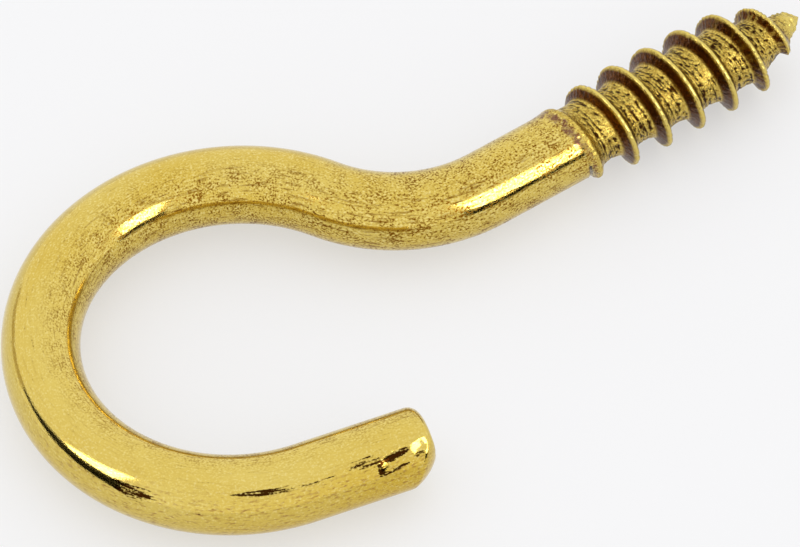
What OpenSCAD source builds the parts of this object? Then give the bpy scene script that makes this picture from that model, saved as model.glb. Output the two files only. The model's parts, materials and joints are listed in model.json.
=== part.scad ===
// Cup hook bent from one brass wire, with a wood-screw thread rolled on its straight end.
// It lies flat, +Z up. +X runs along the screw towards its point, and the bow opens to -Y.
// The origin is on the screw axis where the thread starts to rise from the shank.

/* [Wire] */
// Diameter of the drawn wire
wire_d = 3.4; // [2.4:0.1:5]

/* [Bow] */
// Inside diameter of the round bow
bow_inner_d = 13.3; // [10:0.1:30]
// Distance of the bow's centre from the screw axis, towards the free end
bow_offset = 0.6; // [0:0.1:2]

/* [Neck and shank] */
// Inside radius of the bend between the bow and the shank
neck_inner_r = 5.25; // [3:0.05:9]
// Length of the plain straight shank between the neck and the thread
shank_len = 3.5; // [2:0.1:20]

/* [Free end] */
// Length of the straight free end
lip_len = 5.5; // [4.5:0.1:12]
// Angle by which the free end leans away from the screw axis
lip_flare = 12.3; // [0:0.1:40]
// Radius of the rounded edge round the cut end
lip_edge_r = 0.55; // [0.2:0.05:0.9]
// How far the shears rolled one side of the cut end over, beyond the other
lip_roll = 0.6; // [0.2:0.05:1]
// Turn of the rolled-over side about the free end, from the hook's outer edge downwards
lip_roll_turn = 37; // [0:1:90]

/* [Thread] */
// Length from the start of the thread to the point
thread_len = 13.1; // [11:0.1:30]
// Outside diameter over the thread's crests
thread_d = 4.35; // [3.6:0.05:6]
// Diameter at the bottom of the groove
root_d = 2.9; // [2:0.05:3.2]
// Distance from one crest to the next
pitch = 1.75; // [1.2:0.05:2.2]
// Width of the flat on the crest
crest_w = 0.2; // [0.1:0.02:0.4]
// Width of each flank along the screw
flank_w = 0.3; // [0.1:0.02:0.35]
// Width of the shoulder by which the shank flares up to the crest where it starts
shoulder_w = 0.8; // [0.4:0.05:1.2]
// Rise of the groove's corners above its middle
root_sag = 0.08; // [0:0.01:0.15]
// Length of the tapered point
point_len = 4.6; // [3:0.1:8]
// Distance from the last of the crest to the tip of the point
crest_end = 1.1; // [0.8:0.05:2]
// Distance of the tip from the screw axis, as the point was nipped off
tip_lean = 0.1; // [0:0.05:0.5]
// Angle about the screw towards which the tip leans
tip_turn = 34; // [-180:1:180]
// Turns over which the crest rises to its full height
crest_rise = 1.6; // [1.2:0.1:3]
// Turns over which the groove falls to its full depth
groove_fall = 0.7; // [0.4:0.1:1.5]
// Angle about the screw at which the crest starts
thread_start = -69; // [-180:1:180]

/* [Hidden] */
$fn = 64;
wire_r = wire_d / 2;

// Where two lengths of wire meet, one is this much slimmer and runs on this far inside the other
seat_step = 0.02;
seat_len = 0.15;
slim_r = wire_r - seat_step;

// Centreline of the bends, in the plane of the hook
bow_r = bow_inner_d / 2 + wire_r;
neck_r = neck_inner_r + wire_r;
neck_turn = acos((neck_r + bow_offset) / (bow_r + neck_r));
bow_start = 90 - neck_turn;
bow_end = 270 - lip_flare;
bow_x = -shank_len - (bow_r + neck_r) * cos(bow_start);
neck_seat = seat_len / neck_r * 180 / PI;

// Cut end of the wire: a sphere, set off to one side, rounds the rolled-over edge. The end's face
// lies at this share of the sphere's radius, so that a flat is left on it.
roll_clear = 0.12;
roll_r = slim_r + lip_roll + roll_clear;
face_share = 0.8;
cut_len = face_share * roll_r;
edge_steps = 8;

// Thread: its first turn starts on a prism that seats in the end of the shank
turn_steps = 48;
lead_margin = 0.15;
lead_in = crest_w / 2 + shoulder_w + lead_margin;
last = round(turn_steps * (thread_len - crest_end) / pitch);

// Places of the points in the thread's outline, from the hook side to the tip side
near_corner = 0;
far_crest = 2;
far_corner = 3;
groove = 4;
outline_points = 5;

// Share from 0 to 1 of a change that starts at 0 and ends at 1, and of one that also eases out
function share(t) = min(1, max(0, t));
function ease_out(t) = 1 - pow(1 - share(t), 2);
function taper(x) = 1 - pow(max(0, (x - thread_len + point_len) / point_len), 2);
function mix(a, b, t) = a + (b - a) * t;

// Radii of the crest, the groove's corner and its middle, after so many turns. The hollow of the
// groove fades out along the point.
function crest_r(turns) = mix(slim_r, thread_d / 2, share(turns / crest_rise));
function corner_r(turns) = mix(slim_r, root_d / 2 + root_sag, ease_out(turns / groove_fall));
function middle_r(turns, x) = corner_r(turns) - root_sag * taper(x) * ease_out(turns / groove_fall);

function on_screw(step, x, r) =
    let (a = thread_start + 360 * step / turn_steps, tapered = r * taper(x))
    [x, tapered * cos(a), tapered * sin(a)];

// Width of the hook-side flank, which is the shoulder's over the first turn
function near_w(turns) = mix(shoulder_w, flank_w, share(turns));

// The thread's outline at one step of its helix: hook-side corner, crest, tip-side corner, groove
function outline(step) =
    let (turns = step / turn_steps, x = pitch * turns, half = crest_w / 2)
    [
        on_screw(step, x - half - near_w(turns), corner_r(turns - 1)),
        on_screw(step, x - half, crest_r(turns)),
        on_screw(step, x + half, crest_r(turns)),
        on_screw(step, x + half + flank_w, corner_r(turns)),
        on_screw(step, x + pitch / 2, middle_r(turns, x + pitch / 2)),
    ];

// Place of an outline's point in the list. The point past the last is the next turn's first.
function at(step, k) =
    k < outline_points ? turn_steps + outline_points * step + k : at(step + turn_steps, near_corner);

function strip(step, k) = [
    [at(step, k), at(step, k + 1), at(step + 1, k + 1)],
    [at(step, k), at(step + 1, k + 1), at(step + 1, k)],
];

module wire(length, r) {
    rotate([0, 90, 0]) cylinder(r = r, h = length);
}

module bend(radius, turn, r) {
    rotate_extrude(angle = turn) translate([radius, 0]) circle(r = r);
}

// End of the wire as the shears left it, with its face at cut_len
module cut_wire_end() {
    rounded = [
        for (i = [0 : edge_steps])
            let (a = 90 * i / edge_steps)
            [slim_r - lip_edge_r * (1 - cos(a)), cut_len - lip_edge_r * (1 - sin(a))]
    ];
    intersection() {
        rotate([0, 90, 0]) rotate_extrude() polygon(concat([[0, 0], [slim_r, 0]], rounded, [[0, cut_len]]));
        rotate([lip_roll_turn, 0, 0]) translate([0, lip_roll, 0]) sphere(r = roll_r);
    }
}

// Wood-screw thread with its core and point, as one closed shape
module thread() {
    seat = [
        for (i = [0 : turn_steps - 1])
            let (a = thread_start + 360 * i / turn_steps)
            [-lead_in - seat_len, slim_r * cos(a), slim_r * sin(a)]
    ];
    helix = [for (i = [0 : last], point = outline(i)) point];
    tip = len(seat) + len(helix);
    seam = turn_steps - 1;
    open = last - turn_steps;
    seat_face = [[for (i = [0 : seam]) i]];
    seat_wall = [
        for (i = [0 : seam - 1])
            each [[i, at(i, near_corner), at(i + 1, near_corner)], [i, at(i + 1, near_corner), i + 1]]
    ];
    seam_wall = concat(
        [for (k = [near_corner : groove]) [at(seam, near_corner), at(0, k + 1), at(0, k)]],
        [[at(seam, near_corner), at(0, near_corner), 0], [at(seam, near_corner), 0, seam]]
    );
    full_turns = [for (i = [0 : open - 1], k = [near_corner : groove]) each strip(i, k)];
    last_turn = [for (i = [open : last - 1], k = [near_corner : far_crest]) each strip(i, k)];
    point_cone = [for (i = [open : last - 1]) [at(i + 1, far_corner), at(i, far_corner), tip]];
    crest_stop = [
        [tip, at(open, far_corner), at(open, groove), at(last, near_corner)],
        [for (k = [near_corner : far_corner]) at(last, k), tip],
    ];
    polyhedron(
        points = concat(seat, helix, [[thread_len, tip_lean * cos(tip_turn), tip_lean * sin(tip_turn)]]),
        faces = concat(seat_face, seat_wall, seam_wall, full_turns, last_turn, point_cone, crest_stop)
    );
}

module cup_hook() {
    color("#C9A84C") {
        thread();
        translate([-shank_len, 0, 0]) wire(shank_len - lead_in, wire_r);
        translate([-shank_len, neck_r, 0])
            rotate([0, 0, 180 + bow_start - neck_seat])
            bend(neck_r, neck_turn + 2 * neck_seat, slim_r);
        translate([bow_x, -bow_offset, 0]) {
            rotate([0, 0, bow_start]) bend(bow_r, bow_end - bow_start, wire_r);
            rotate([0, 0, bow_end]) translate([bow_r, 0, 0]) rotate([0, 0, 90]) {
                translate([-seat_len, 0, 0]) wire(seat_len + lip_len - cut_len, slim_r);
                translate([lip_len - cut_len, 0, 0]) cut_wire_end();
            }
        }
    }
}

cup_hook();
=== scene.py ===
"""Brass cup hook: one drawn wire bent to a round bow, with a wood-screw thread rolled on its straight end.

Run as a script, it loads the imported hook, models the finished surface over it and sets a small studio
round it.
"""

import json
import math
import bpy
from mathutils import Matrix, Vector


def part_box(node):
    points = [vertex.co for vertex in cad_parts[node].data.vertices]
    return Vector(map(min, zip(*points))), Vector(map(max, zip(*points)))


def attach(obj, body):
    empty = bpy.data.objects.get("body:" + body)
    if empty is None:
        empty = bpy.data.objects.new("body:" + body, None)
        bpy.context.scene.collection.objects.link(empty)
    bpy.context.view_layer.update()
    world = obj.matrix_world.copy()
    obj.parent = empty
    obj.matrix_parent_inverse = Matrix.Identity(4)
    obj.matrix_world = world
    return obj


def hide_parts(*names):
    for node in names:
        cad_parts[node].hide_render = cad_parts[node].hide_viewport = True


bl_info = {
    "name": "Brass Cup Hook",
    "version": (1, 0, 0),
    "blender": (4, 5, 0),
    "location": "View3D > Sidebar > Cup Hook",
    "description": "Models a brass cup hook with a rolled wood-screw thread, and a studio to show it in",
    "category": "Add Mesh",
}

import bpy
from bpy.props import FloatProperty, FloatVectorProperty, PointerProperty
from mathutils import Quaternion, Vector, noise

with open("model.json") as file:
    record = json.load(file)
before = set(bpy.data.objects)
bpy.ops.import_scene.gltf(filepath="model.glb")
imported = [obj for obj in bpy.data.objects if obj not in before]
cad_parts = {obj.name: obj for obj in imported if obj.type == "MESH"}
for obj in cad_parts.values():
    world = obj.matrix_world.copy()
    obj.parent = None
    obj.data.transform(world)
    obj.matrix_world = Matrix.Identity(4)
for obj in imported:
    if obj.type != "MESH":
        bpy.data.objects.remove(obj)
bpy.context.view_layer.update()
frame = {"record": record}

MM = 0.001
NODE = "cup_hook"
cad_low, cad_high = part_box(NODE)
mounts = {mount["name"]: mount for mount in frame["record"]["mounts"]}
screw = mounts["screw_thread"]["dims"]
bow_seat = mounts["bow_seat"]

# Fineness of the mesh: sides of the wire, which are also the steps in a turn of the thread, ring spacing
# along the wire, rings round the cut end, and grid lines across each stretch of the thread's outline
SIDES = 160
RING = 0.3 * MM
LIP_RING = 0.1 * MM
EDGE_RINGS = 10
FACE_RINGS = 8
CREST_PARTS = 4
FLANK_PARTS = 6
GROOVE_PARTS = 18
MERGE = 0.001 * MM


def linear(code):
    """Linear colour of an sRGB hex code."""
    values = [int(code[i : i + 2], 16) / 255 for i in (1, 3, 5)]
    return [v / 12.92 if v <= 0.04045 else ((v + 0.055) / 1.055) ** 2.4 for v in values]


def length(name, description, default):
    """Property for a length in metres."""
    return FloatProperty(name=name, description=description, default=default, unit="LENGTH", precision=5)


def angle(name, description, degrees):
    """Property for an angle, given in degrees and kept in radians."""
    return FloatProperty(name=name, description=description, default=math.radians(degrees), subtype="ANGLE")


def turn_count(name, description, default):
    """Property for a number of turns of the thread."""
    return FloatProperty(name=name, description=description, default=default, min=0.1)


def colour(name, description, code):
    """Property for a colour, given as an sRGB hex code and kept linear."""
    return FloatVectorProperty(name=name, description=description, default=linear(code), subtype="COLOR")


class WireSizes(bpy.types.PropertyGroup):
    """Sizes of the bent wire."""

    wire_d: length("Wire", "Diameter of the drawn wire", bow_seat["pos_m"][0] - cad_low.x)
    bow_inner_r: length("Bow inside", "Inside radius of the round bow", bow_seat["dims"]["r_mm"] * MM)
    bow_offset: length("Bow offset", "From the bow's centre to the screw axis", -bow_seat["pos_m"][1])
    neck_inner_r: length("Neck inside", "Inside radius of the bend next to the shank", 5.25 * MM)
    shank_len: length("Shank", "Plain straight length between the neck and the thread", 3.5 * MM)
    lip_len: length("Free end", "Length of the straight free end", 5.5 * MM)
    lip_flare: angle("Flare", "Lean of the free end away from the screw axis", 12.3)
    lip_edge_r: length("Edge", "Radius of the rounded edge round the cut end", 0.55 * MM)
    lip_roll: length("Rolled edge", "How far one side of the cut end is rolled over", 0.6 * MM)
    lip_roll_turn: angle("Rolled side", "Turn of the rolled side, from the outer edge downwards", 37)


class ThreadSizes(bpy.types.PropertyGroup):
    """Sizes of the rolled wood-screw thread."""

    thread_len: length("Length", "From the start of the thread to the point", screw["length_mm"] * MM)
    thread_d: length("Crests", "Diameter over the crests", 2 * screw["r_mm"] * MM)
    root_d: length("Root", "Diameter at the bottom of the groove", 2.9 * MM)
    pitch: length("Pitch", "Distance from one crest to the next", 1.75 * MM)
    crest_w: length("Crest", "Width of the flat on the crest", 0.2 * MM)
    flank_w: length("Flank", "Width of each flank along the screw", 0.3 * MM)
    shoulder_w: length("Shoulder", "Width by which the shank flares up to the crest's start", 0.8 * MM)
    root_sag: length("Hollow", "Depth of the groove's middle below its corners", 0.08 * MM)
    point_len: length("Point", "Length of the tapered point", 4.6 * MM)
    crest_end: length("Crest end", "Distance from the last of the crest to the tip", 1.1 * MM)
    tip_lean: length("Lean", "Distance of the tip from the screw axis", 0.1 * MM)
    tip_turn: angle("Lean side", "Angle about the screw towards which the tip leans", 34)
    crest_rise: turn_count("Crest rise", "Turns over which the crest rises to its full height", 1.6)
    groove_fall: turn_count("Groove fall", "Turns over which the groove falls to its full depth", 0.7)
    start: angle("Start", "Angle about the screw at which the crest starts", -69)


class HookColours(bpy.types.PropertyGroup):
    """Colours of the brass and of the floor."""

    brass: colour("Brass", "Clean drawn brass", "#DBC56C")
    dull: colour("Dull brass", "Brass that has dulled", "#CFAF42")
    pit: colour("Pits", "Brown in pits and draw lines", "#7C500A")
    # Pale specks: partly polished high spots, partly painted glints
    fleck_and_glint: colour("Flecks", "Polished high spots", "#F0E098")
    scuff: colour("Scuffs", "Red-brown scuffs on the free end", "#8E5E36")
    tarnish: colour("Tarnish", "Purple-brown tarnish next to the thread", "#6E4440")
    # Brown of the flanks: partly brown oxide, partly painted shade
    flank: colour("Thread flanks", "Brown oxide on the thread's flanks", "#6A3C0A")
    # Near-black brown: painted shade in the nick, the shoulder's notch and the thread's tears, a painted
    # dark reflection on the lower bow, dark marks, and the flanks' mottling
    dark_brown_and_shade: colour("Soot", "Near-black brown in the thread's tears and the nick", "#381C04")
    floor: colour("Floor", "Paper under the hook, without its own light", "#A8A8AA")


class WirePlan:
    """Centreline of the bent wire, worked out from its sizes."""

    def __init__(self, sizes):
        self.sizes = sizes
        self.wire_r = sizes.wire_d / 2
        self.bow_r = sizes.bow_inner_r + self.wire_r
        self.neck_r = sizes.neck_inner_r + self.wire_r
        reach = self.bow_r + self.neck_r
        self.neck_turn = math.acos((self.neck_r + sizes.bow_offset) / reach)
        self.bow_start = math.pi / 2 - self.neck_turn
        self.bow_end = 1.5 * math.pi - sizes.lip_flare
        self.neck_centre = Vector((-sizes.shank_len, self.neck_r, 0))
        self.bow_centre = Vector((-sizes.shank_len - reach * math.cos(self.bow_start), -sizes.bow_offset, 0))
        self.lip_out = Vector((math.cos(self.bow_end), math.sin(self.bow_end), 0))
        self.lip_along = Vector((-math.sin(self.bow_end), math.cos(self.bow_end), 0))
        self.lip_root = self.bow_centre + self.bow_r * self.lip_out
        self.neck_far = sizes.shank_len + self.neck_r * self.neck_turn
        self.bow_far = self.neck_far + self.bow_r * (self.bow_end - self.bow_start)

    def straighten(self, point):
        """Where a point of the hook was on the straight wire, on the screw's own axes."""
        if point.x > -self.sizes.shank_len:
            return point.copy()
        ray = point - self.bow_centre
        turn = math.atan2(ray.y, ray.x) % (2 * math.pi)
        if self.bow_start <= turn <= self.bow_end:
            along = self.neck_far + self.bow_r * (turn - self.bow_start)
            return Vector((-along, ray.xy.length - self.bow_r, point.z))
        lip = point - self.lip_root
        if lip.dot(self.lip_along) > 0 and abs(lip.dot(self.lip_out)) < self.sizes.wire_d:
            return Vector((-self.bow_far - lip.dot(self.lip_along), lip.dot(self.lip_out), point.z))
        ray = point - self.neck_centre
        turn = 1.5 * math.pi - math.atan2(ray.y, ray.x) % (2 * math.pi)
        return Vector((-self.sizes.shank_len - self.neck_r * turn, self.neck_r - ray.xy.length, point.z))


def share(value):
    """A value kept between 0 and 1."""
    return min(1, max(0, value))


def ease_out(value):
    """Share from 0 to 1 of a change that eases out."""
    return 1 - (1 - share(value)) ** 2


def bell(value):
    """A smooth hump from -1 to 1, 1 high in the middle."""
    return (1 - min(1, value * value)) ** 2


def mix(a, b, amount):
    """A value between a and b."""
    return a + (b - a) * amount


class ThreadPlan:
    """Form of the rolled thread at any place on its helix."""

    # Plain length kept between the shoulder and the wire's first ring
    lead_margin = 0.15 * MM
    # Turns in which the last of the crest falls to the groove
    crest_fade = 0.05
    # Rounding of the crest's edges, with its power across the crest, and hollowness of the flanks
    crest_round = 0.03 * MM
    round_power = 4
    flank_hollow = 1.4
    # Power by which the crest tapers along the point, more slowly than the root
    crest_power = 2.3
    # Unevenness of the crest, its growth along the point, and its waves in a turn
    crest_rag = 0.12 * MM
    crest_rag_growth = 2.5
    crest_waves = 40
    # Grit of the torn root: its depth, its size along and across the helix, and its fractal's increment,
    # lacunarity and octaves
    grit_depth = 0.06 * MM
    grit_long = 0.2 * MM
    grit_wide = 0.167 * MM
    grit_fractal = (0.6, 2, 4)
    # Share of the groove's hollow in which the tears fade out towards its corners
    tear_edge = 0.125
    # Folds that rolling left in the root: depth, length, spacing, and share of the root that they take up
    fold_depth = 0.045 * MM
    fold_long = 2.9 * MM
    fold_wide = 0.167 * MM
    fold_share = 0.12
    # Levels of the noise from which the folds and the bare patches on the flanks are read
    fold_level = 9
    patch_level = 5
    # Notch that rolling tore into the foot of the shoulder: its depth, its place and half length in turns,
    # and its place and half width as shares of the shoulder
    lap_depth = 0.3 * MM
    lap_turns = 0.77
    lap_long = 0.14
    lap_away = 0.6
    lap_wide = 0.3
    # How sharply the painted shade in the notch starts at its edges
    lap_sharp = 3
    # How bright the crest was rubbed in its middle, and how much less at its edges
    crest_bright = 0.95
    crest_dim = 0.65
    # Turns after which the crest gets bright and its point side brown, and turns in which these and the
    # rounding of its edges set in
    bright_from = 0.5
    brown_from = 1
    set_in = 0.5
    # Share of the flank, at its foot, in which the brown, partly painted shade, fades out
    brown_foot = 0.25
    # How sharply bare patches break up the brown of the flanks towards the tip
    flank_break = 4
    # Places, as shares of the point's length, where the tip starts to lean and to flatten to a chisel
    lean_from = 0.55
    chisel_from = 0.72
    chisel = 0.8
    # How bright the nipped tip is, and the share of the chisel by which it is so
    tip_bright = 0.95
    tip_bright_by = 0.5
    # How ragged the tip is, with the size of a rag along the screw, and the rags in a radian round it
    tip_rag = 0.5
    tip_rag_long = 0.125 * MM
    tip_rag_round = 2
    # Bend of the point away from the tip's side, with its place and reach along the screw
    sway = 0.1 * MM
    sway_at = 10.3 * MM
    sway_long = 1.9 * MM

    def __init__(self, sizes, wire_r):
        self.sizes = sizes
        self.wire_r = wire_r
        self.half = sizes.crest_w / 2
        self.corner = self.half + sizes.flank_w
        self.lead_in = self.half + sizes.shoulder_w + self.lead_margin
        self.crest_turns = (sizes.thread_len - sizes.crest_end) / sizes.pitch
        self.point_start = sizes.thread_len - sizes.point_len

    def near(self, turns):
        """Distance from the crest to its hook-side corner, where the shank flares up to the first turn."""
        return self.half + mix(self.sizes.shoulder_w, self.sizes.flank_w, share(turns))

    def across(self, turns, part):
        """Place of a grid line across one pitch, from the hook-side corner of a crest to the next one's."""
        stretches = (
            (-self.near(turns), -self.half, FLANK_PARTS),
            (-self.half, self.half, CREST_PARTS),
            (self.half, self.corner, FLANK_PARTS),
            (self.corner, self.sizes.pitch - self.near(turns + 1), GROOVE_PARTS),
        )
        for low, high, parts in stretches:
            if part <= parts:
                return mix(low, high, part / parts)
            part -= parts

    def on_point(self, x):
        """Share of the point's length that lies before a place on the screw."""
        return share((x - self.point_start) / self.sizes.point_len)

    def crest_r(self, turns):
        """Radius of the crest before the root's taper."""
        crest = mix(self.wire_r, self.sizes.thread_d / 2, share(turns / self.sizes.crest_rise))
        point = self.on_point(self.sizes.pitch * min(turns, self.crest_turns))
        rag = self.crest_rag * share(turns) * (1 + self.crest_rag_growth * point)
        crest -= rag * abs(noise.noise((self.crest_waves * turns, 0, 0)))
        crest *= (1 - point**self.crest_power) / (1 - point**2)
        return mix(crest, self.corner_r(turns), ease_out((turns - self.crest_turns) / self.crest_fade))

    def corner_r(self, turns):
        """Radius of the groove's corners before the root's taper."""
        corner = self.sizes.root_d / 2 + self.sizes.root_sag
        return mix(self.wire_r, corner, ease_out(turns / self.sizes.groove_fall))

    def along(self, turns):
        """Distance along the helix, at the root."""
        return turns * math.pi * self.sizes.root_d

    def pit_depth(self, turns, across):
        """How far rolling tore the root open, in pits and in folds along the helix."""
        along = self.along(turns)
        grit = noise.fractal((along / self.grit_long, across / self.grit_wide, 0), *self.grit_fractal)
        fold = noise.noise((along / self.fold_long, across / self.fold_wide, self.fold_level))
        return self.grit_depth * max(0, grit) + self.fold_depth * share(1 - abs(fold) / self.fold_share)

    def section(self, turns, across):
        """Radius before the point's taper, and the shares of flank, crest and pit there."""
        crest = self.crest_r(turns)
        edge = crest - self.crest_round * share(turns / self.set_in)
        if abs(across) <= self.half:
            off_middle = across / self.half
            bright = self.crest_bright - self.crest_dim * off_middle**2
            bright *= share((turns - self.bright_from) / self.set_in)
            return mix(crest, edge, off_middle**self.round_power), (0, bright, 0)
        if across < self.corner:
            wide = self.near(turns) - self.half if across < 0 else self.sizes.flank_w
            away = (abs(across) - self.half) / wide
            root = self.corner_r(turns - 1 if across < 0 else turns)
            r = mix(root, edge, (1 - away) ** self.flank_hollow)
            if across < 0 and turns < 1:
                lap = bell((turns - self.lap_turns) / self.lap_long)
                lap *= bell((away - self.lap_away) / self.lap_wide)
                return r - self.lap_depth * lap, (0, 0, share(self.lap_sharp * lap))
            brown = share((1 - away) / self.brown_foot)
            if across > 0:
                brown *= share((turns - self.brown_from) / self.set_in)
            return r, (brown, 0, 0)
        wide = self.sizes.pitch - self.near(turns + 1) - self.corner
        middle = self.corner + wide / 2
        hollow = 1 - ((across - middle) / (wide / 2)) ** 2
        deep = ease_out(turns / self.sizes.groove_fall)
        pit = self.pit_depth(turns, across) * deep * share(hollow / self.tear_edge)
        r = self.corner_r(turns) - self.sizes.root_sag * hollow * deep - pit
        return r, (0, 0, pit / self.grit_depth)

    def square_off(self, x, turns):
        """Draws the first turn, which is plain, onto the wire's first ring."""
        low = self.sizes.pitch * turns - self.near(turns)
        high = self.sizes.pitch * (turns + 1) - self.near(turns + 1)
        if low >= -self.lead_in:
            return x
        return max(-self.lead_in, mix(-self.lead_in, high, (x - low) / (high - low)))

    def place(self, step, part):
        """Place of a grid point in the part's frame, its shares, and its place on the helix in mm."""
        turn = 2 * math.pi * (step % SIDES) / SIDES
        turns = step / SIDES - self.sizes.start / (2 * math.pi)
        across = self.across(turns, part)
        along = self.along(turns)
        x = self.sizes.pitch * turns + across
        r, shares = self.section(turns, across)
        x = min(self.square_off(x, turns), self.sizes.thread_len)
        point = self.on_point(x)
        r *= 1 - point**2
        side = self.sizes.tip_turn
        flat = share((point - self.chisel_from) / (1 - self.chisel_from))
        flank, crest, pit = shares
        patch = noise.noise((along / self.grit_long, across / self.grit_wide, self.patch_level))
        flank *= (1 - flat) * (1 - point * share(self.flank_break * patch))
        shares = (flank, max(crest, self.tip_bright * share(flat / self.tip_bright_by)), pit)
        round_screw = (self.tip_rag_round * math.cos(turn), self.tip_rag_round * math.sin(turn))
        ragged = 1 + self.tip_rag * flat * noise.noise((x / self.tip_rag_long, *round_screw))
        off = self.chisel * flat * r * math.cos(turn - side)
        off += self.sizes.tip_lean * share((point - self.lean_from) / (1 - self.lean_from))
        off -= self.sway * bell((x - self.sway_at) / self.sway_long)
        y = r * ragged * math.cos(turn) + off * math.cos(side)
        z = r * ragged * math.sin(turn) + off * math.sin(side)
        return Vector((x, y, z)), shares, (along / MM, across / MM)


def add_rings(count, step):
    """Extrudes the selected end ring in equal steps."""
    for _ in range(count):
        bpy.ops.mesh.extrude_region_move(TRANSFORM_OT_translate={"value": step})


# Cut end: clearance of its rounding sphere, and place of the flat face as a share of the sphere's radius
ROLL_CLEAR = 0.12 * MM
FACE_SHARE = 0.8
UP = Vector((0, 0, 1))

# Nick in the free end: place along it, turn from its outer side upwards, size and slant
NICK_AT = 3.85 * MM
NICK_TURN = math.radians(47)
NICK_LONG = 1.9 * MM
NICK_WIDE = 0.66 * MM
NICK_DEPTH = 0.08 * MM
NICK_SLANT = 0.19
# Steepness of its walls: towards the bow, towards the cut end, below and above
NICK_WALLS = (0.9, 0.62, 2.2, 3)
# Facet that the strike left from the nick to the cut end: its start and end along the nick, how far the nick
# runs on under it, how far it fades out beyond its end, its half width and its depth
FACET_FROM = 0.4
FACET_TO = 1.1
FACET_UNDER = 0.2
FACET_FADE = 0.5
FACET_WIDE = 1.1
FACET_DEPTH = 0.07 * MM
# Painted shade in the nick: middle and half size along it, then across it. In turn: the upper wall, the
# wall towards the bow, the lower edge, and its end at the facet.
NICK_SHADES = (
    (-0.15, 0.95, 0.45, 0.75),
    (-0.95, 0.28, -0.1, 1.4),
    (-0.25, 1.0, -1.15, 0.32),
    (0.85, 0.4, -0.8, 0.4),
)
# Darkest that the nick's painted shade gets
NICK_SHADE = 0.95
# How sharply the nick's painted shade and the marks on the wire start at their edges
MARK_SHARP = 2

# Dark marks and a painted reflection on the wire: place from the thread, turn from the outer side upwards,
# half of length and width, and strength. In turn: a painted dark reflection on the lower bow, carrying on
# the left flag's dark band under the softbox's highlight, a dark line along the free end, its faint end,
# and a scuff at the nick.
MARKS_AND_PAINTED_REFLECTION = (
    (37.2 * MM, math.radians(35), 1.3 * MM, 0.4 * MM, 0.8),
    (42.1 * MM, math.radians(53), 1.7 * MM, 0.18 * MM, 0.8),
    (44.4 * MM, math.radians(50), 1.2 * MM, 0.12 * MM, 0.5),
    (46.4 * MM, math.radians(54), 1.1 * MM, 0.4 * MM, 0.5),
)


def bend_wire(plan, lead_in):
    """The plain wire, extruded and spun ring by ring from the thread to the cut end."""
    sizes = plan.sizes
    bpy.ops.mesh.primitive_circle_add(
        vertices=SIDES, radius=plan.wire_r, location=(-lead_in, 0, 0), rotation=(0, math.pi / 2, 0)
    )
    wire = bpy.context.object
    bpy.ops.object.transform_apply(location=True, rotation=True, scale=True)
    bpy.ops.object.mode_set(mode="EDIT")
    bpy.ops.mesh.select_all(action="SELECT")
    shank = sizes.shank_len - lead_in
    rings = round(shank / RING)
    add_rings(rings, (-shank / rings, 0, 0))
    # Spin turns clockwise about +Z for a positive angle
    steps = round(plan.neck_r * plan.neck_turn / RING)
    bpy.ops.mesh.spin(steps=steps, angle=plan.neck_turn, center=plan.neck_centre, axis=(0, 0, 1))
    turn = plan.bow_end - plan.bow_start
    steps = round(plan.bow_r * turn / RING)
    bpy.ops.mesh.spin(steps=steps, angle=-turn, center=plan.bow_centre, axis=(0, 0, 1))
    straight = sizes.lip_len - sizes.lip_edge_r
    rings = round(straight / LIP_RING)
    add_rings(rings, plan.lip_along * (straight / rings))
    round_off_end(plan)
    bpy.ops.object.mode_set(mode="OBJECT")
    return wire


def round_off_end(plan):
    """Rounded edge and flat face of the cut end, on the ring that is selected."""
    sizes = plan.sizes
    edge_r = sizes.lip_edge_r
    flat = plan.wire_r - edge_r
    edge_at = sizes.lip_len - edge_r
    edge = [math.pi / 2 * i / EDGE_RINGS for i in range(EDGE_RINGS + 1)]
    outline = [(flat + edge_r * math.cos(a), edge_at + edge_r * math.sin(a)) for a in edge]
    outline += [(flat * (1 - i / FACE_RINGS), sizes.lip_len) for i in range(1, FACE_RINGS)]
    for (r_from, at_from), (r_to, at_to) in zip(outline, outline[1:]):
        add_rings(1, plan.lip_along * (at_to - at_from))
        centre = plan.lip_root + plan.lip_along * at_to
        bpy.ops.transform.resize(value=[r_to / r_from] * 3, center_override=centre)
    bpy.ops.mesh.merge(type="CENTER")


def roll_end(mesh, plan):
    """Draws one side of the cut end back onto a sphere, as the shears rolled it over."""
    sizes = plan.sizes
    ball_r = plan.wire_r + sizes.lip_roll + ROLL_CLEAR
    ball_at = sizes.lip_len - FACE_SHARE * ball_r
    side = UP * math.sin(sizes.lip_roll_turn) - plan.lip_out * math.cos(sizes.lip_roll_turn)
    ball = plan.lip_root + plan.lip_along * ball_at + side * sizes.lip_roll
    for vertex in mesh.vertices:
        ray = vertex.co - ball
        if ray.dot(plan.lip_along) > 0 and ball_r < ray.length < 2 * ball_r:
            vertex.co = ball + ray.normalized() * ball_r


def nick_place(plan, point):
    """Place on the nick of the free end: along it and across it, each from -1 to 1, and the way in."""
    place = plan.straighten(point)
    turn = math.atan2(place.z, place.y)
    along = -place.x - plan.bow_far - NICK_AT
    across = plan.wire_r * (turn - NICK_TURN) - NICK_SLANT * along
    inward = -plan.lip_out * math.cos(turn) - UP * math.sin(turn)
    return along / (NICK_LONG / 2), across / (NICK_WIDE / 2), inward


def nick_depth(along, across):
    """Depth of the nick and of its facet, by a place on the nick."""
    dent = NICK_DEPTH
    rooms = (1 + along, FACET_FROM + FACET_UNDER - along, 1 + across, 1 - across)
    for steep, room in zip(NICK_WALLS, rooms):
        dent *= ease_out(steep * room)
    facet = share((along - FACET_FROM) / (FACET_TO - FACET_FROM))
    facet *= share((FACET_TO + FACET_FADE - along) / FACET_FADE)
    return dent + FACET_DEPTH * facet * bell(across / FACET_WIDE)


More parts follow.
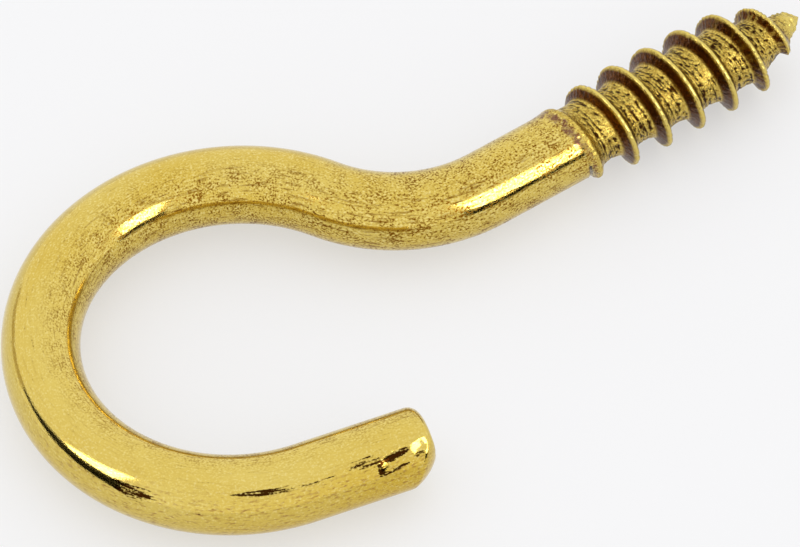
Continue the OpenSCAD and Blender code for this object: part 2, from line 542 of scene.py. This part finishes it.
def nick_painted_shade(along, across):
    """Painted shade on the nick's walls and edges, by a place on it."""
    shades = [
        bell((along - at_along) / half_long) * bell((across - at_across) / half_wide)
        for at_along, half_long, at_across, half_wide in NICK_SHADES
    ]
    return min(NICK_SHADE, MARK_SHARP * max(shades))


def strike_nick(mesh, plan):
    """The nick in the free end with its painted shade, dark marks, and a painted reflection on the wire."""
    dark = mesh.attributes.new("tool_mark", "FLOAT", "POINT")
    for vertex in mesh.vertices:
        place = plan.straighten(vertex.co)
        turn = math.atan2(place.z, place.y)
        shade = 0
        for mark_at, mark_turn, half_long, half_wide, strength in MARKS_AND_PAINTED_REFLECTION:
            mark = bell((-place.x - mark_at) / half_long)
            mark *= bell(plan.wire_r * (turn - mark_turn) / half_wide)
            shade = max(shade, strength * min(1, MARK_SHARP * mark))
        along, across, inward = nick_place(plan, vertex.co)
        shade = max(shade, nick_painted_shade(along, across))
        vertex.co += inward * nick_depth(along, across)
        dark.data[vertex.index].value = shade


# Place of the tarnish on the shoulder, as a share of its width from the shank
TARNISH_AT = 0.6


def roll_thread(plan):
    """The thread: a fine grid rolled up on its helix, each turn's far edge on the next turn's near edge."""
    start = plan.sizes.start / (2 * math.pi)
    first = math.floor(SIDES * (start - (plan.lead_in + plan.sizes.pitch) / plan.sizes.pitch))
    last = math.ceil(SIDES * (start + (plan.sizes.thread_len + plan.corner) / plan.sizes.pitch))
    steps = last - first
    parts = 2 * FLANK_PARTS + CREST_PARTS + GROOVE_PARTS
    bpy.ops.mesh.primitive_grid_add(x_subdivisions=steps, y_subdivisions=parts, size=1)
    thread = bpy.context.object
    mesh = thread.data
    mesh.attributes.new("thread_zone", "FLOAT_VECTOR", "POINT")
    mesh.attributes.new("tarnish", "FLOAT", "POINT")
    mesh.attributes.new("tool_mark", "FLOAT", "POINT")
    zones = mesh.attributes["thread_zone"]
    stain = mesh.attributes["tarnish"]
    dark = mesh.attributes["tool_mark"]
    on_helix = []
    shank_side = []
    for vertex in mesh.vertices:
        step = first + round((vertex.co.x + 0.5) * steps)
        part = round((vertex.co.y + 0.5) * parts)
        vertex.co, zones.data[vertex.index].vector, place = plan.place(step, part)
        on_helix.append(place)
        turns = step / SIDES - start
        shank_side.append(turns <= 0 or turns <= 1 and part <= FLANK_PARTS)
        # On the shoulder, which takes the wire's finish: tarnish, and painted shade in its notch and tears
        if shank_side[-1] and turns > 0:
            torn = zones.data[vertex.index].vector.z
            stain.data[vertex.index].value = bell(part / FLANK_PARTS - TARNISH_AT) * (1 - torn)
            dark.data[vertex.index].value = torn
    for loop in mesh.loops:
        mesh.uv_layers.active.data[loop.index].uv = on_helix[loop.vertex_index]
    # The shoulder keeps the wire's finish, in the second material slot
    for face in mesh.polygons:
        face.material_index = int(all(shank_side[i] for i in face.vertices))
    return thread


# Distance between nodes in the editor
NODE_STEP = 180


def node(tree, kind, inputs=None, **settings):
    """Adds a node, with its settings, and sets or links its inputs."""
    new = tree.nodes.new(kind)
    new.location.x = NODE_STEP * len(tree.nodes)
    for name, value in settings.items():
        setattr(new, name, value)
    for name, value in (inputs or {}).items():
        if isinstance(value, bpy.types.NodeSocket):
            tree.links.new(value, new.inputs[name])
        else:
            new.inputs[name].default_value = value
    return new


def new_material(name):
    """A material with nothing but a Principled shader, its node tree and that shader."""
    material = bpy.data.materials.new(name)
    material.use_nodes = True
    tree = material.node_tree
    tree.nodes.clear()
    shader = node(tree, "ShaderNodeBsdfPrincipled")
    node(tree, "ShaderNodeOutputMaterial", {"Surface": shader.outputs["BSDF"]})
    return material, tree, shader


def per_mm(*sizes):
    """Scale of a pattern, from the size in millimetres of its spots along each axis."""
    return [1 / size for size in sizes]


# Stretches of the straight wire, in mm from the thread, and bands across it, in mm from its axis outwards.
# Each runs from where a change starts to where it is complete.
BOW_TOP = (-30, -20)
NECK = (-7, -13)
LOWER_BOW = (-29, -36)
FREE_END = (-40, -46)
INNER_SIDE = (0.4, -1.1)
OUTER_SIDE = (0.7, 1.4)


def drawn_brass(colours):
    """Drawn brass wire, tumbled after bending: satin gold, with fine draw lines and brown pin-pits."""
    material, tree, shader = new_material("drawn_brass_wire")
    # Millimetres on the straight wire: along it from the thread, then outwards from the bends, then up
    place = node(tree, "ShaderNodeAttribute", attribute_name="straight_wire").outputs["Vector"]
    split = node(tree, "ShaderNodeSeparateXYZ", {"Vector": place})
    along = split.outputs["X"]
    outward = split.outputs["Y"]
    # The skin is worn from the thread to the top of the bow, and less so on the rest
    worn = node(
        tree,
        "ShaderNodeMapRange",
        {"Value": along, "From Min": BOW_TOP[0], "From Max": BOW_TOP[1], "To Min": 0.7},
        interpolation_type="SMOOTHSTEP",
    ).outputs["Result"]
    # Draw lines show on the inside of the bends, and on the bow the pits keep to it too
    inside = node(
        tree,
        "ShaderNodeMapRange",
        {"Value": outward, "From Min": INNER_SIDE[0], "From Max": INNER_SIDE[1], "To Min": 0.1},
        interpolation_type="SMOOTHSTEP",
    ).outputs["Result"]
    pitted = node(
        tree,
        "ShaderNodeMapRange",
        {"Value": along, "From Min": NECK[0], "From Max": NECK[1], "To Min": 1, "To Max": inside},
    ).outputs["Result"]
    pitted = node(tree, "ShaderNodeMath", {0: pitted, 1: worn}, operation="MULTIPLY").outputs[0]
    # Broad drift of tone, in patches of 3.3 by 1.4 mm
    drift = node(tree, "ShaderNodeMapping", {"Vector": place, "Scale": per_mm(3.3, 1.4, 1.4)}).outputs[0]
    drift = node(tree, "ShaderNodeTexNoise", {"Vector": drift, "Scale": 1}).outputs["Fac"]
    # Clusters of pits, 0.8 mm across
    cluster = node(tree, "ShaderNodeMapping", {"Vector": place, "Scale": per_mm(0.8, 0.8, 0.8)}).outputs[0]
    cluster = node(tree, "ShaderNodeTexNoise", {"Vector": cluster, "Scale": 1}).outputs["Fac"]
    # Grain of the tumbled skin, in specks of 0.1 by 0.08 mm
    grain = node(tree, "ShaderNodeMapping", {"Vector": place, "Scale": per_mm(0.1, 0.08, 0.08)}).outputs[0]
    grain = node(tree, "ShaderNodeTexNoise", {"Vector": grain, "Scale": 1}).outputs["Fac"]
    # Draw lines, 0.09 mm apart and 0.8 mm long
    lines = node(tree, "ShaderNodeMapping", {"Vector": place, "Scale": per_mm(0.8, 0.09, 0.09)}).outputs[0]
    lines = node(tree, "ShaderNodeTexNoise", {"Vector": lines, "Scale": 1, "Detail": 3}).outputs["Fac"]
    # Clean brass that has dulled in patches where it is worn, and all over the outside of the free end
    free_end = node(
        tree,
        "ShaderNodeMapRange",
        {"Value": along, "From Min": FREE_END[0], "From Max": FREE_END[1], "To Max": 0.5},
    ).outputs["Result"]
    outside = node(
        tree,
        "ShaderNodeMapRange",
        {"Value": outward, "From Min": OUTER_SIDE[0], "From Max": OUTER_SIDE[1]},
    ).outputs["Result"]
    handled = node(tree, "ShaderNodeMath", {0: free_end, 1: outside}, operation="MULTIPLY").outputs[0]
    dulled = node(
        tree, "ShaderNodeMath", {0: drift, 1: worn, 2: handled}, operation="MULTIPLY_ADD"
    ).outputs[0]
    tone = node(
        tree,
        "ShaderNodeMix",
        {0: dulled, 6: (*colours.brass, 1), 7: (*colours.dull, 1)},
        data_type="RGBA",
    ).outputs[2]
    # Pale specks on the high grain: partly polished metal, partly painted glints
    flecks_and_glints = node(
        tree, "ShaderNodeMapRange", {"Value": grain, "From Min": 0.46, "From Max": 0.32, "To Max": 0.6}
    ).outputs["Result"]
    flecks_and_glints = node(tree, "ShaderNodeMath", {0: flecks_and_glints, 1: worn}, operation="MULTIPLY").outputs[0]
    tone = node(
        tree, "ShaderNodeMix", {0: flecks_and_glints, 6: tone, 7: (*colours.fleck_and_glint, 1)}, data_type="RGBA"
    ).outputs[2]
    # Brown in the draw lines, faint all over and strong on the inside
    drawn = node(tree, "ShaderNodeMath", {0: worn, 1: inside}, operation="MULTIPLY").outputs[0]
    drawn = node(tree, "ShaderNodeMath", {0: drawn, 1: 0.2}, operation="MAXIMUM").outputs[0]
    streaks = node(
        tree, "ShaderNodeMapRange", {"Value": lines, "From Min": 0.54, "From Max": 0.72, "To Max": 0.9}
    ).outputs["Result"]
    streaks = node(tree, "ShaderNodeMath", {0: streaks, 1: drawn}, operation="MULTIPLY").outputs[0]
    tone = node(
        tree, "ShaderNodeMix", {0: streaks, 6: tone, 7: (*colours.pit, 1)}, data_type="RGBA"
    ).outputs[2]
    # A pit opens where the grain is low, sooner within a cluster
    pits = node(tree, "ShaderNodeMath", {0: cluster, 1: 0.4, 2: grain}, operation="MULTIPLY_ADD").outputs[0]
    pits = node(
        tree, "ShaderNodeMapRange", {"Value": pits, "From Min": 0.71, "From Max": 0.87}
    ).outputs["Result"]
    pits = node(tree, "ShaderNodeMath", {0: pits, 1: pitted}, operation="MULTIPLY").outputs[0]
    tone = node(
        tree, "ShaderNodeMix", {0: pits, 6: tone, 7: (*colours.pit, 1)}, data_type="RGBA"
    ).outputs[2]
    # Scuffs on the outside of the lower bow and the free end, in streaks of 0.25 by 0.1 mm
    low = node(
        tree,
        "ShaderNodeMapRange",
        {"Value": along, "From Min": LOWER_BOW[0], "From Max": LOWER_BOW[1]},
    ).outputs["Result"]
    scuffed = node(tree, "ShaderNodeMath", {0: low, 1: outside}, operation="MULTIPLY").outputs[0]
    scuffs = node(tree, "ShaderNodeMapping", {"Vector": place, "Scale": per_mm(0.25, 0.1, 0.1)}).outputs[0]
    scuffs = node(tree, "ShaderNodeTexNoise", {"Vector": scuffs, "Scale": 1, "Detail": 3}).outputs["Fac"]
    scuffs = node(
        tree, "ShaderNodeMapRange", {"Value": scuffs, "From Min": 0.52, "From Max": 0.72, "To Max": 0.7}
    ).outputs["Result"]
    scuffs = node(tree, "ShaderNodeMath", {0: scuffs, 1: scuffed}, operation="MULTIPLY").outputs[0]
    tone = node(
        tree, "ShaderNodeMix", {0: scuffs, 6: tone, 7: (*colours.scuff, 1)}, data_type="RGBA"
    ).outputs[2]
    # Dark marks, painted shade in the nick and the shoulder's notch and tears, and a painted dark reflection
    # on the lower bow, all broken up by the draw lines and the grain
    marks = node(tree, "ShaderNodeAttribute", attribute_name="tool_mark").outputs["Fac"]
    marks = node(tree, "ShaderNodeMath", {0: marks, 1: 0.5, 2: lines}, operation="MULTIPLY_ADD").outputs[0]
    marks = node(tree, "ShaderNodeMath", {0: grain, 1: 0.5, 2: marks}, operation="MULTIPLY_ADD").outputs[0]
    marks = node(
        tree, "ShaderNodeMapRange", {"Value": marks, "From Min": 0.98, "From Max": 1.14}
    ).outputs["Result"]
    tone = node(
        tree, "ShaderNodeMix", {0: marks, 6: tone, 7: (*colours.dark_brown_and_shade, 1)}, data_type="RGBA"
    ).outputs[2]
    # Tarnish next to the thread, in blotches of 0.5 mm with ragged edges
    stain = node(tree, "ShaderNodeAttribute", attribute_name="tarnish").outputs["Fac"]
    blotch = node(tree, "ShaderNodeMapping", {"Vector": place, "Scale": per_mm(0.5, 0.5, 0.5)}).outputs[0]
    blotch = node(
        tree, "ShaderNodeTexNoise", {"Vector": blotch, "Scale": 1, "Detail": 5, "Roughness": 0.75}
    ).outputs["Fac"]
    stain = node(tree, "ShaderNodeMath", {0: stain, 1: 0.3, 2: blotch}, operation="MULTIPLY_ADD").outputs[0]
    stain = node(
        tree, "ShaderNodeMapRange", {"Value": stain, "From Min": 0.68, "From Max": 0.86, "To Max": 0.85}
    ).outputs["Result"]
    tone = node(
        tree, "ShaderNodeMix", {0: stain, 6: tone, 7: (*colours.tarnish, 1)}, data_type="RGBA"
    ).outputs[2]
    # Pits are matt, and grain and draw lines give the gloss a fine edge
    rough = node(
        tree, "ShaderNodeMapRange", {"Value": pits, "To Min": 0.1, "To Max": 0.4}
    ).outputs["Result"]
    relief = node(tree, "ShaderNodeMath", {0: grain, 1: lines}, operation="ADD").outputs[0]
    bump = node(
        tree, "ShaderNodeBump", {"Height": relief, "Strength": 1, "Distance": 0.0022 * MM}, invert=True
    ).outputs["Normal"]
    tree.links.new(tone, shader.inputs["Base Color"])
    tree.links.new(rough, shader.inputs["Roughness"])
    tree.links.new(bump, shader.inputs["Normal"])
    shader.inputs["Metallic"].default_value = 1
    return material


def rolled_brass(colours):
    """Rolled brass thread: bright crests, brown flanks, and a torn and pitted root, with painted shade."""
    material, tree, shader = new_material("rolled_brass_thread")
    # Shares of flank, rubbed crest and torn root
    zone = node(tree, "ShaderNodeAttribute", attribute_name="thread_zone").outputs["Vector"]
    zone = node(tree, "ShaderNodeSeparateXYZ", {"Vector": zone})
    flank, crest, pit = (zone.outputs[axis] for axis in "XYZ")
    unrubbed = node(tree, "ShaderNodeMath", {0: 1, 1: crest}, operation="SUBTRACT").outputs[0]
    # Grit of the torn root, 0.2 mm along the helix by 0.125 mm across it
    grit = node(tree, "ShaderNodeUVMap").outputs["UV"]
    grit = node(tree, "ShaderNodeMapping", {"Vector": grit, "Scale": per_mm(0.2, 0.125, 1)}).outputs[0]
    grit = node(
        tree, "ShaderNodeTexNoise", {"Vector": grit, "Scale": 1, "Detail": 3, "Roughness": 0.65}
    ).outputs["Fac"]
    # Mottling of the metal, 0.14 mm across
    mottle = node(tree, "ShaderNodeAttribute", attribute_name="straight_wire").outputs["Vector"]
    mottle = node(
        tree, "ShaderNodeMapping", {"Vector": mottle, "Scale": per_mm(0.14, 0.14, 0.14)}
    ).outputs[0]
    mottle = node(
        tree, "ShaderNodeTexNoise", {"Vector": mottle, "Scale": 1, "Detail": 3, "Roughness": 0.65}
    ).outputs["Fac"]
    # Clean brass on the crests, duller in the root
    dulled = node(tree, "ShaderNodeMath", {0: mottle, 1: unrubbed}, operation="MULTIPLY").outputs[0]
    tone = node(
        tree, "ShaderNodeMix", {0: dulled, 6: (*colours.brass, 1), 7: (*colours.dull, 1)}, data_type="RGBA"
    ).outputs[2]
    # Brown has settled in the root
    aged = node(
        tree, "ShaderNodeMapRange", {"Value": mottle, "From Min": 0.42, "From Max": 0.62, "To Max": 0.5}
    ).outputs["Result"]
    aged = node(tree, "ShaderNodeMath", {0: aged, 1: unrubbed}, operation="MULTIPLY").outputs[0]
    tone = node(
        tree, "ShaderNodeMix", {0: aged, 6: tone, 7: (*colours.pit, 1)}, data_type="RGBA"
    ).outputs[2]
    # Painted shade in the root: it is darkened where rolling tore it open and where the grit is deep
    torn = node(tree, "ShaderNodeMath", {0: pit, 1: 0.5, 2: grit}, operation="MULTIPLY_ADD").outputs[0]
    torn = node(
        tree, "ShaderNodeMapRange", {"Value": torn, "From Min": 0.59, "From Max": 0.82}
    ).outputs["Result"]
    torn = node(tree, "ShaderNodeMath", {0: torn, 1: unrubbed}, operation="MULTIPLY").outputs[0]
    tone = node(
        tree, "ShaderNodeMix", {0: torn, 6: tone, 7: (*colours.dark_brown_and_shade, 1)}, data_type="RGBA"
    ).outputs[2]
    # Flanks are brown all over, with darker mottling: partly brown oxide, partly painted shade
    brown = node(
        tree, "ShaderNodeMapRange", {"Value": mottle, "From Min": 0.35, "From Max": 0.65}
    ).outputs["Result"]
    brown = node(
        tree, "ShaderNodeMix", {0: brown, 6: (*colours.flank, 1), 7: (*colours.dark_brown_and_shade, 1)}, data_type="RGBA"
    ).outputs[2]
    tone = node(tree, "ShaderNodeMix", {0: flank, 6: tone, 7: brown}, data_type="RGBA").outputs[2]
    # The grit roughens the root, and the rubbed crests stay smooth
    relief = node(tree, "ShaderNodeMath", {0: grit, 1: unrubbed}, operation="MULTIPLY").outputs[0]
    bump = node(
        tree, "ShaderNodeBump", {"Height": relief, "Strength": 1, "Distance": 0.07 * MM}, invert=True
    ).outputs["Normal"]
    tree.links.new(tone, shader.inputs["Base Color"])
    tree.links.new(bump, shader.inputs["Normal"])
    shader.inputs["Metallic"].default_value = 1
    shader.inputs["Roughness"].default_value = 0.26
    return material


class CUPHOOK_OT_make(bpy.types.Operator):
    """Model the hook over its CAD solid, as one closed brass piece"""

    bl_idname = "cup_hook.make"
    bl_label = "Make Hook"

    def execute(self, context):
        scene = context.scene
        wire_plan = WirePlan(scene.cup_hook_wire)
        thread_plan = ThreadPlan(scene.cup_hook_thread, wire_plan.wire_r)
        bpy.ops.object.select_all(action="DESELECT")
        wire_finish = drawn_brass(scene.cup_hook_colours)
        thread = roll_thread(thread_plan)
        thread.data.materials.append(rolled_brass(scene.cup_hook_colours))
        thread.data.materials.append(wire_finish)
        bpy.ops.object.select_all(action="DESELECT")
        hook = bend_wire(wire_plan, thread_plan.lead_in)
        hook.name = "brass_cup_hook"
        hook.data.materials.append(wire_finish)
        roll_end(hook.data, wire_plan)
        strike_nick(hook.data, wire_plan)
        thread.select_set(True)
        bpy.ops.object.join()
        bpy.ops.object.mode_set(mode="EDIT")
        bpy.ops.mesh.select_all(action="SELECT")
        bpy.ops.mesh.remove_doubles(threshold=MERGE)
        bpy.ops.mesh.normals_make_consistent(inside=False)
        bpy.ops.object.mode_set(mode="OBJECT")
        bpy.ops.object.shade_smooth()
        places = hook.data.attributes.new("straight_wire", "FLOAT_VECTOR", "POINT")
        for vertex in hook.data.vertices:
            places.data[vertex.index].vector = wire_plan.straighten(vertex.co) / MM
        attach(hook, "root")
        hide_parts(NODE)
        return {"FINISHED"}


# Camera of the photograph: where it stands, what its middle shows, its lens and sensor in mm, and the
# nearest and farthest that it sees, in metres
CAMERA_AZIMUTH = math.radians(-31.38)
CAMERA_ELEVATION = math.radians(51.91)
CAMERA_ROLL = math.radians(2.88)
CAMERA_AIM = Vector((-9.657, -2.550, 1.212)) * MM
CAMERA_DISTANCE = 322.6 * MM
CAMERA_LENS = 340.0
CAMERA_SENSOR = 36
CAMERA_NEAREST = 0.01
CAMERA_FARTHEST = 10


def direction(azimuth, elevation):
    """Unit vector at an azimuth from +Y towards -X and an elevation above the floor, in radians."""
    flat = math.cos(elevation)
    return Vector((-math.sin(azimuth) * flat, math.cos(azimuth) * flat, math.sin(elevation)))


def set_camera():
    """The photograph's camera, rolled a little about its own axis."""
    look = direction(CAMERA_AZIMUTH, -CAMERA_ELEVATION)
    turn = look.to_track_quat("-Z", "Y") @ Quaternion((0, 0, 1), -CAMERA_ROLL)
    bpy.ops.object.camera_add(location=CAMERA_AIM - look * CAMERA_DISTANCE, rotation=turn.to_euler())
    camera = bpy.context.object
    camera.data.lens = CAMERA_LENS
    camera.data.sensor_width = CAMERA_SENSOR
    camera.data.clip_start = CAMERA_NEAREST
    camera.data.clip_end = CAMERA_FARTHEST
    bpy.context.scene.camera = camera


# Size of the floor in metres, light of the dome, of the table under the paper and of the softboxes, and
# colours of the stage
FLOOR_SIZE = 4
DOME_STRENGTH = 1.1
TABLE_GLOW = 0.5
SOFTBOX_STRENGTH = 6.0
WHITE = (1, 1, 1, 1)
BLACK = (0, 0, 0, 1)
BLACK_CARD = "#141210"
GREY_CARD = "#CEC2A8"
# The left cards stand round the hook's middle. The right ones stand near the shank, so that the free end
# shows none of them. A flag stands a little behind its softbox.
MIDDLE = (cad_low + cad_high) / 2
SHANK = Vector((-2.5, 0, 0)) * MM
FAR = 500 * MM
NEAR = 68 * MM
BEHIND = 1.08
# Corners of the cards, by azimuth and elevation in degrees: the two lower ones, then the two upper ones
LEFT_SOFTBOX = ((68, 20), (93, 24), (68, 26), (93, 47))
LEFT_FLAG = ((42, 9), (98, 0), (42, 13), (98, 25))
LEFT_FLAG_END = ((10, -2), (42, 5), (10, 6), (42, 15))
RIGHT_SOFTBOX = ((181, 16), (207, 13), (174, 44), (207, 42))
RIGHT_FLAG = ((176, 0), (210, 0), (176, 22), (210, 18))


def add_card(name, centre, distance, corners, material):
    """A card that only the brass mirrors, by the azimuth and elevation of its corners round a centre."""
    bpy.ops.mesh.primitive_plane_add(size=1)
    card = bpy.context.object
    card.name = name
    for vertex, (azimuth, elevation) in zip(card.data.vertices, corners):
        vertex.co = centre + distance * direction(math.radians(azimuth), math.radians(elevation))
    card.data.materials.append(material)
    card.visible_camera = False
    card.visible_diffuse = False
    card.visible_shadow = False


def set_dome():
    """Even white light from all sides, as in a light tent."""
    world = bpy.data.worlds.new("light_tent")
    world.use_nodes = True
    light = world.node_tree.nodes["Background"]
    light.inputs["Color"].default_value = WHITE
    light.inputs["Strength"].default_value = DOME_STRENGTH
    bpy.context.scene.world = world


def lit_paper(colours):
    """Paper on a light table: matt and pale, and lit enough from below to thin out the shadow."""
    material, _, shader = new_material("matt_paper_lit_from_below")
    shader.inputs["Base Color"].default_value = (*colours.floor, 1)
    shader.inputs["Roughness"].default_value = 0.9
    shader.inputs["Specular IOR Level"].default_value = 0.1
    shader.inputs["Emission Color"].default_value = WHITE
    shader.inputs["Emission Strength"].default_value = TABLE_GLOW
    return material


def matt_card(name, code):
    """Matt card without gloss: black for a sharp dark line in the brass, or grey for a faint one."""
    material, _, shader = new_material(name)
    shader.inputs["Base Color"].default_value = (*linear(code), 1)
    shader.inputs["Roughness"].default_value = 1
    shader.inputs["Specular IOR Level"].default_value = 0
    return material


def bright_card():
    """Softbox cloth: even white light."""
    material, _, shader = new_material("softbox_cloth")
    shader.inputs["Base Color"].default_value = BLACK
    shader.inputs["Emission Color"].default_value = WHITE
    shader.inputs["Emission Strength"].default_value = SOFTBOX_STRENGTH
    return material


class CUPHOOK_OT_stage(bpy.types.Operator):
    """Set the floor, the lights and the camera"""

    bl_idname = "cup_hook.stage"
    bl_label = "Set Stage"

    def execute(self, context):
        colours = context.scene.cup_hook_colours
        bpy.ops.object.select_all(action="DESELECT")
        bpy.ops.mesh.primitive_plane_add(size=FLOOR_SIZE, location=(0, 0, cad_low.z))
        floor = bpy.context.object
        floor.name = "floor"
        floor.data.materials.append(lit_paper(colours))
        set_dome()
        bright = bright_card()
        dark = matt_card("matt_black_card", BLACK_CARD)
        grey = matt_card("matt_grey_card", GREY_CARD)
        add_card("left_softbox", MIDDLE, FAR, LEFT_SOFTBOX, bright)
        add_card("left_flag", MIDDLE, FAR * BEHIND, LEFT_FLAG, dark)
        add_card("left_flag_end", MIDDLE, FAR * BEHIND, LEFT_FLAG_END, grey)
        add_card("right_softbox", SHANK, NEAR, RIGHT_SOFTBOX, bright)
        add_card("right_flag", SHANK, NEAR * BEHIND, RIGHT_FLAG, dark)
        set_camera()
        context.scene.view_settings.view_transform = "Standard"
        return {"FINISHED"}


class CUPHOOK_PT_panel(bpy.types.Panel):
    """Sizes, colours and steps of the hook"""

    bl_label = "Cup Hook"
    bl_idname = "CUPHOOK_PT_panel"
    bl_space_type = "VIEW_3D"
    bl_region_type = "UI"
    bl_category = "Cup Hook"

    def draw(self, context):
        scene = context.scene
        for group in (scene.cup_hook_wire, scene.cup_hook_thread, scene.cup_hook_colours):
            for name in group.bl_rna.properties.keys():
                if name not in ("rna_type", "name"):
                    self.layout.prop(group, name)
        self.layout.operator(CUPHOOK_OT_make.bl_idname)
        self.layout.operator(CUPHOOK_OT_stage.bl_idname)


classes = (WireSizes, ThreadSizes, HookColours, CUPHOOK_OT_make, CUPHOOK_OT_stage, CUPHOOK_PT_panel)


def register():
    for cls in classes:
        bpy.utils.register_class(cls)
    bpy.types.Scene.cup_hook_wire = PointerProperty(type=WireSizes)
    bpy.types.Scene.cup_hook_thread = PointerProperty(type=ThreadSizes)
    bpy.types.Scene.cup_hook_colours = PointerProperty(type=HookColours)


def unregister():
    del bpy.types.Scene.cup_hook_colours
    del bpy.types.Scene.cup_hook_thread
    del bpy.types.Scene.cup_hook_wire
    for cls in reversed(classes):
        bpy.utils.unregister_class(cls)


def main():
    register()
    bpy.ops.cup_hook.make()
    bpy.ops.cup_hook.stage()


if __name__ == "__main__":
    main()
